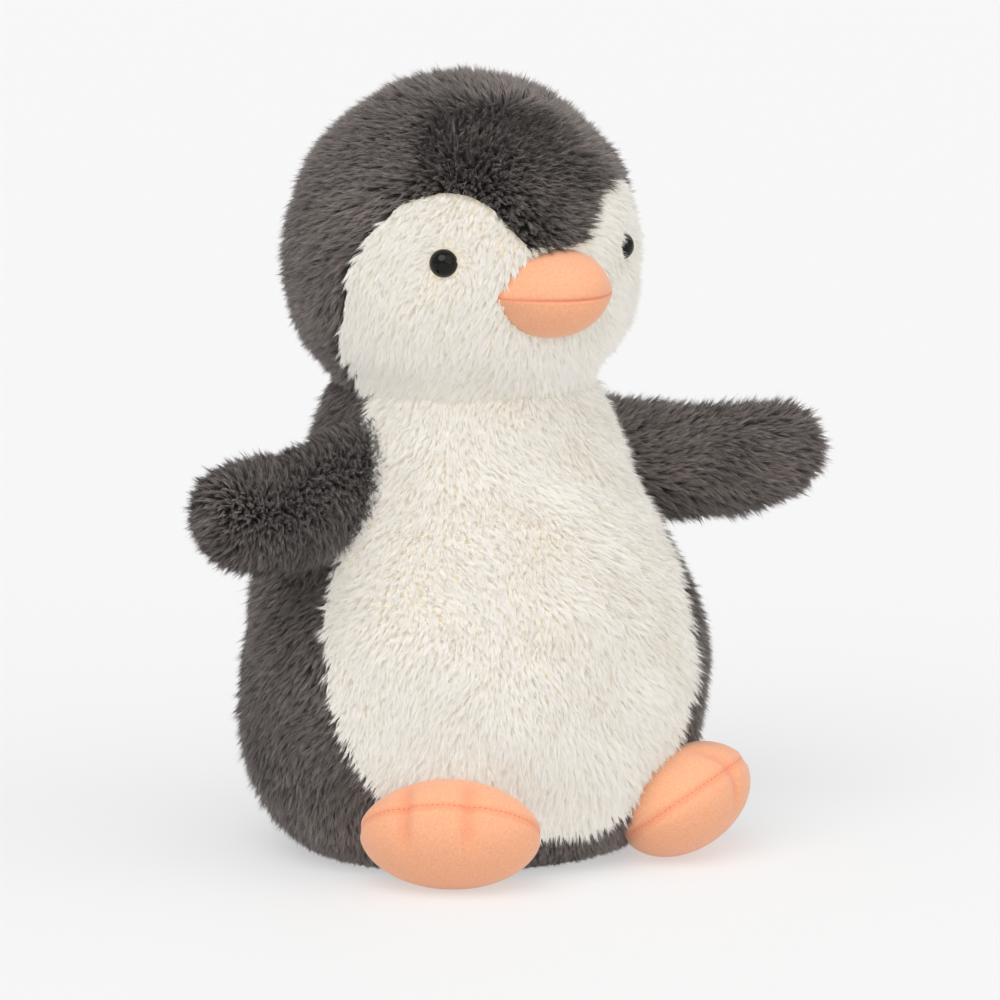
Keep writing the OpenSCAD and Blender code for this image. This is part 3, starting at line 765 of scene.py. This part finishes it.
for label, surface, rows, cols, skin, slot in (
        ("face", face, 30, 70, CREAM_BACKING, "cream_pile"),
        ("forehead", forehead, 24, 40, DARK_BACKING, "dark_pile"),
        ("hood_left", hood_left, 36, 56, DARK_BACKING, "dark_pile"),
        ("hood_right", hood_right, 36, 56, DARK_BACKING, "dark_pile")):
    panel(f"{label}_skin", surface, rows, cols, skin, NECK_BLEND, axis_core, [f"{label}_panel"])

pile("face_pile", face, face_flow, CREAM_PILE, NECK_BLEND, axis_core, seed=201,
     length=8.5, spacing=CREAM_SPACING, keep=face_keep, trim=face_trim, even=0.85, width=CREAM_WIDTH)
pile("forehead_pile", forehead, dark_flow, DARK_PILE, "head", axis_core, seed=202,
     upright=brow, keep=lambda p: ~(under_beak(p, 1.0) & (p[..., 1] < LEAN)))
pile("hood_left_pile", hood_left, dark_flow, DARK_PILE, NECK_BLEND, axis_core, seed=203,
     trim=chin_trim, upright=brow)
pile("hood_right_pile", hood_right, dark_flow, DARK_PILE, NECK_BLEND, axis_core, seed=204,
     trim=chin_trim, upright=brow)

# ---- wings --------------------------------------------------------------------------------

WING_IN, WING_OUT = 58, 82


def wing_region(side, start, end, first, last):
    """Part of a wing between two angles round it, with rows closer together at the tip."""
    def surface(u, v):
        return wing(mix(first, last, 1 - np.maximum(0, 1 - u) ** 1.5), mix(start, end, v), side)
    return surface


def wing_axis(side):
    """The middle of a wing, level with each point on it."""
    steps = np.linspace(0, 0.97, 60)

    def core(p):
        s = np.interp(np.abs(p[..., 0]), wing_core(steps)[:, 0], steps)
        return wing_core(s) * [side, 1, 1]
    return core


WING_LEAN, FAN = (26, 54), 0.55


def wing_flow(side):
    """Towards the tip, fanning out from the middle of the wing to its seams."""
    def flow(p, n):
        high = (p - wing_axis(side)(p))[..., 2] / WING_H
        return xyz(side + 0 * p[..., 0], -0.12 + 0 * p[..., 1], -0.15 + FAN * np.clip(high, -1, 1))
    return flow


def outside_torso(p):
    """False where a wing's root is inside the torso."""
    return torso_off(p) > -3


for side, hand in ((1, "left"), (-1, "right")):
    wing_body = ("torso", f"wing_{hand}",
                 (side * WING_IN * MM, -0.012, 0.162), (side * WING_OUT * MM, -0.016, 0.158))
    for part, start, end, seed in (("front", 0, 180, 301), ("back", 360, 180, 303)):
        sheet = wing_region(side, start, end, 0.06, 0.999)
        panel(f"wing_{hand}_{part}_skin", sheet, 40, 24, DARK_BACKING, wing_body,
              wing_axis(side), [f"wing_{hand}_{part}"])
        pile(f"wing_{hand}_{part}_pile", sheet, wing_flow(side), DARK_PILE, wing_body,
             wing_axis(side), seed + (side < 0), lean=WING_LEAN, keep=outside_torso)

# ---- feet -----------------------------------------------------------------------------------

UPPER_PINCH, UPPER_FULL, SOLE_PINCH, SOLE_FULL = 0.62, 1.04, 0.5, 1.12
TUCKS = ((0.47, 0.80), (-0.25, 0.90))                       # across and along the foot
TUCK_WIDE, TUCK_LONG, TUCK_DEPTH, TUCK_SINK = 0.085, 0.24, 0.075, 0.08
RIM_GROOVE, RIM_WIDE = 0.022, 0.010
TORSO_GAP, FLOOR_LIFT = 1.2, 0.3
# painted shade in the rim seam groove and in the tucks
RIM_SHADE, RIM_SHADE_WIDE = (0.3, 0.04), (0.006, 0.05)
TUCK_SHADE = 0.30
FOOT_RINGS, FOOT_SPOKES = 34, 120
HEEL_BACK, TOES_BACK = 24, 4


def tuck(along, across):
    """1 in the two tucks sewn into the toe and 0 away from them."""
    return sum(np.exp(-((across - c) / TUCK_WIDE) ** 2 - ((along - a) / TUCK_LONG) ** 2)
               for c, a in TUCKS)


def foot_point(rho, theta, face_side, side):
    """Point on a foot pillow: rho from its middle to the rim seam, theta round it from the toe.

    It is pressed flat where it meets the torso and the floor.
    """
    along, across = rho * np.cos(theta), rho * np.sin(theta)
    dent = tuck(along, across)
    shrink = 1 - TUCK_DEPTH * dent - RIM_GROOVE * np.exp(-((1 - rho) / RIM_WIDE) ** 2)
    pinch, full = (UPPER_PINCH, UPPER_FULL) if face_side > 0 else (SOLE_PINCH, SOLE_FULL)
    thick = full * np.maximum(0, 1 - rho**2) ** pinch
    h = face_side * FOOT_T * thick * (1 - TUCK_SINK * dent)
    p = FOOT_MID + FOOT_L * (shrink * along)[..., None] * FOOT_AXIS \
        + FOOT_W * (shrink * across)[..., None] * FOOT_SIDE + h[..., None] * FOOT_UP
    off = torso_off(p)
    mid, k = torso_mid(p[..., 2]), torso_share(p[..., 2])
    q = xyz(p[..., 0], (p[..., 1] - mid) / k, 0)
    push = np.where(off < TORSO_GAP, TORSO_GAP - off, 0)
    q = q + unit(q) * push[..., None]
    p = xyz(q[..., 0], mid + k * q[..., 1], np.maximum(p[..., 2], FLOOR_LIFT))
    return p * [side, 1, 1]


def foot_shade(rho, theta):
    """How much painted shade the suede gets towards the rim seam and in the tucks."""
    rim = sum(share * np.exp(-((1 - rho) / wide) ** 2) for share, wide in zip(RIM_SHADE, RIM_SHADE_WIDE))
    return np.clip(rim + TUCK_SHADE * tuck(rho * np.cos(theta), rho * np.sin(theta)), 0, 1)


def pillow(rings, spokes, point):
    """Closed pillow of an upper and a lower disc that share their rim."""
    theta = np.arange(spokes) * 2 * math.pi / spokes
    rho = np.sin(np.linspace(0, math.pi / 2, rings + 1))[1:]
    r, t = np.meshgrid(rho, theta, indexing="ij")
    top, low = point(r, t, 1).reshape(-1, 3), point(r[:-1], t[:-1], -1).reshape(-1, 3)
    zero = np.zeros((1,))
    points = np.concatenate([top, low, point(zero, zero, 1), point(zero, zero, -1)])
    painted_shade = np.concatenate([foot_shade(r, t).ravel(), foot_shade(r[:-1], t[:-1]).ravel(), [0, 0]])
    top_mid, low_mid = len(points) - 2, len(points) - 1

    def at(i, j, upper):
        j = j % spokes
        return i * spokes + j if upper or i == rings - 1 else rings * spokes + i * spokes + j

    faces = []
    for upper, middle in ((True, top_mid), (False, low_mid)):
        for j in range(spokes):
            faces.append([middle, at(0, j, upper), at(0, j + 1, upper)])
            for i in range(rings - 1):
                faces.append([at(i, j, upper), at(i + 1, j, upper),
                              at(i + 1, j + 1, upper), at(i, j + 1, upper)])
    return points, faces, painted_shade


def tint(obj, painted_shade):
    """Give each point of a mesh its share of painted shade, from 0 to 1."""
    layer = obj.data.attributes.new("painted_shade", "FLOAT", "POINT")
    layer.data.foreach_set("value", np.asarray(painted_shade, np.float32))


STITCH_SIDES = 6
STITCH_RINGS = ((-0.7, 0.8), (0.0, 1.0), (0.7, 0.8))        # place along it, share of its radius
STITCH_SUNK = 0.04


def stitch_shape():
    """One stitch of length 2 and radius 1: a rounded rod with a point at each end."""
    sides = STITCH_SIDES
    turns = np.arange(sides) * 2 * math.pi / sides
    rings = [(a, r * np.cos(t), r * np.sin(t)) for a, r in STITCH_RINGS for t in turns]
    shape = np.array([(-1.0, 0, 0)] + rings + [(1.0, 0, 0)])
    last = len(shape) - 1
    faces = [[0, 1 + (j + 1) % sides, 1 + j] for j in range(sides)]
    for i in range(len(STITCH_RINGS) - 1):
        for j in range(sides):
            a, b = 1 + i * sides + j, 1 + i * sides + (j + 1) % sides
            faces += [[a, b, b + sides], [a, b + sides, a + sides]]
    faces += [[last, last - sides + j, last - sides + (j + 1) % sides] for j in range(sides)]
    return shape, np.array(faces)


def stitches(name, path, outward_of, spacing, length, radius, body):
    """A row of short thread stitches along a seam."""
    step = np.linalg.norm(np.diff(path, axis=0), axis=1)
    run = np.concatenate([[0], np.cumsum(step)])
    at = np.arange(spacing, run[-1] - spacing / 2, spacing)
    start, end = [np.stack([np.interp(at + d, run, path[:, k]) for k in range(3)], -1)
                  for d in (-length / 2, length / 2)]
    mid = (start + end) / 2
    ahead = unit(end - start)
    lift = outward_of(mid)
    lift = unit(lift - dot(lift, ahead) * ahead)
    side = np.cross(ahead, lift)
    mid = mid - STITCH_SUNK * lift
    shape, strip = stitch_shape()
    points = mid[:, None] + shape[None, :, :1] * ahead[:, None] * length / 2 \
        + shape[None, :, 1:2] * lift[:, None] * radius + shape[None, :, 2:] * side[:, None] * radius
    faces = (strip[None] + (np.arange(len(mid)) * len(shape))[:, None, None]).reshape(-1, 3)
    return build(name, points.reshape(-1, 3), faces, THREAD, body)


seam_turn = np.linspace(-2.2, 2.2, 200)                     # round the toe, clear of the torso
for side, hand in ((1, "left"), (-1, "right")):
    points, faces, painted_shade = pillow(FOOT_RINGS, FOOT_SPOKES,
                                 lambda r, t, s, side=side: foot_point(r, t, s, side))
    heel = (FOOT_MID - HEEL_BACK * FOOT_AHEAD) * [side, 1, 1] * MM
    toes = (FOOT_MID - TOES_BACK * FOOT_AHEAD) * [side, 1, 1] * MM
    foot_body = ("torso", f"foot_{hand}", tuple(heel), tuple(toes))
    foot = loose_mesh(f"foot_{hand}_skin", points, faces, SUEDE, foot_body)
    # painted shade on the foot at its rim seam and tucks
    tint(foot, painted_shade)
    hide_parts(f"foot_{hand}_upper", f"foot_{hand}_sole")
    seam_path = foot_point(np.ones(len(seam_turn)), seam_turn, 1, side)
    stitches(f"foot_{hand}_stitches", seam_path, lambda p, side=side: p - FOOT_MID * [side, 1, 1],
             spacing=2.3, length=1.4, radius=0.17, body=foot_body)

# ---- beak -----------------------------------------------------------------------------------


def face_y(x, z):
    """Front of the head behind the beak."""
    r = curve(HEAD_OUTLINE, head_t(z) * HEAD_LAST)[..., 0]
    return LEAN - np.sqrt(np.maximum(0, (r + 0.4) ** 2 - x**2))


CORNER_OUT, CORNER_HIGH = 3.2, 0.24
GROOVE_DEEP, GROOVE_WIDE = 0.045, 0.010
BEAK_COLS, BEAK_ROWS = 64, 121
BEAK_INSET = 0.4
MOUTH_V = 0.5
# painted shade along the mouth groove of the beak
MOUTH_SHADE, MOUTH_SHADE_WIDE = (0.5, 0.12), (0.009, 0.05)


def beak_point(u, v, depth=1.0):
    """Front of the beak: u from one mouth corner to the other, v from the bottom to the top."""
    a, b = np.radians(mix(0, 180, u)), np.radians(mix(-89, 89, v))
    groove = 1 - GROOVE_DEEP * np.exp(-((v - MOUTH_V) / GROOVE_WIDE) ** 2)
    corner = CORNER_OUT * np.exp(-(np.sin(b) / CORNER_HIGH) ** 2) * np.abs(np.cos(a)) ** 4
    x = -(BEAK_W + corner) * np.cos(a) * np.cos(b)
    z = BEAK_Z + BEAK_H * np.sin(b)
    ahead = depth * BEAK_L * groove * np.sin(a) ** 0.9 * np.cos(b)
    return xyz(x, face_y(x, z) - BEAK_INSET - ahead, z)


v, u = np.meshgrid(np.linspace(0, 1, BEAK_ROWS + 1), np.linspace(0, 1, BEAK_COLS + 1), indexing="ij")
u, v = u.ravel(), v.ravel()
front, back = beak_point(u, v), beak_point(u, v, 0.0)
faces = grid_faces(BEAK_ROWS, BEAK_COLS)
faces = np.concatenate([faces, faces[:, ::-1] + len(front)])
beak = build("beak_skin", np.concatenate([front, back]), faces, SUEDE, "head")
# painted shade along the mouth groove
mouth_shade = sum(share * np.exp(-((v - MOUTH_V) / wide) ** 2)
                 for share, wide in zip(MOUTH_SHADE, MOUTH_SHADE_WIDE))
tint(beak, np.concatenate([mouth_shade, 0 * mouth_shade]))
weld(beak)
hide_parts("beak_upper", "beak_lower")
mouth = np.linspace(0.03, 0.97, 160)
stitches("beak_stitches", beak_point(mouth, MOUTH_V + 0 * mouth),
         lambda p: p - np.array([0, LEAN - HEAD_R, BEAK_Z]),
         spacing=2.1, length=1.2, radius=0.16, body="head")

# ---- carried-over CAD pieces ------------------------------------------------------------------

FINISH = {"bean_pouch": CALICO, "bean_pellets": BEANS, "eye_left": EYE, "eye_right": EYE,
          "eye_left_washer": WASHER, "eye_right_washer": WASHER}
for name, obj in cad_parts.items():
    finish = FIBRE if name.endswith("_stuffing") else FINISH.get(name)
    if finish:
        for slot in obj.material_slots:
            slot.material = finish

# ---- floor, light and camera --------------------------------------------------------------------

FLOOR_HALF = 30
VIEW_AZ, VIEW_EL, VIEW_D = -33.8, 10.5, 3.0
VIEW_LENS, VIEW_HEIGHT, VIEW_RIGHT, VIEW_DOWN = 251.3, 0.165, 0.0121, 0.0158

floor_mesh = bpy.data.meshes.new("floor")
corners = [(FLOOR_HALF * x, FLOOR_HALF * y, 0) for x, y in ((-1, -1), (1, -1), (1, 1), (-1, 1))]
floor_mesh.from_pydata(corners, [], [(0, 1, 2, 3)])
floor = bpy.data.objects.new("floor", floor_mesh)
bpy.context.scene.collection.objects.link(floor)
FLOOR, _, _ = material("floor", Base_Color=grey(0.38), Roughness=0.7, Specular_IOR_Level=0.1,
                       Emission_Color=grey(1), Emission_Strength=0.49)
floor_mesh.materials.append(FLOOR)


def towards(azimuth, elevation):
    """Direction from the penguin to a place round it, 0 in front and positive towards +X."""
    a, e = math.radians(azimuth), math.radians(elevation)
    return Vector((math.sin(a) * math.cos(e), -math.cos(a) * math.cos(e), math.sin(e)))


def sun(name, azimuth, elevation, strength, angle):
    light = bpy.data.lights.new(name, "SUN")
    light.energy = strength
    light.angle = math.radians(angle)
    obj = bpy.data.objects.new(name, light)
    obj.rotation_euler = towards(azimuth, elevation).to_track_quat("Z", "Y").to_euler()
    bpy.context.scene.collection.objects.link(obj)


sun("key", azimuth=VIEW_AZ - 25, elevation=52, strength=1.6, angle=50)
sun("fill", azimuth=VIEW_AZ + 50, elevation=35, strength=0.8, angle=70)

world = bpy.data.worlds.new("studio")
world.use_nodes = True
backdrop = world.node_tree.nodes["Background"]
backdrop.inputs["Color"].default_value = grey(1)
backdrop.inputs["Strength"].default_value = 0.6
bpy.context.scene.world = world
bpy.context.scene.view_settings.view_transform = "Standard"

camera = bpy.data.objects.new("camera", bpy.data.cameras.new("camera"))
camera.data.lens = VIEW_LENS
camera.data.sensor_width = 36
camera.data.clip_end = 100
out = towards(VIEW_AZ, VIEW_EL)
camera.rotation_mode = "QUATERNION"
camera.rotation_quaternion = out.to_track_quat("Z", "Y")
right = camera.rotation_quaternion @ Vector((1, 0, 0))
upward = camera.rotation_quaternion @ Vector((0, 1, 0))
camera.location = Vector((0, 0, VIEW_HEIGHT)) + out * VIEW_D + right * VIEW_RIGHT - upward * VIEW_DOWN
bpy.context.scene.collection.objects.link(camera)
bpy.context.scene.camera = camera
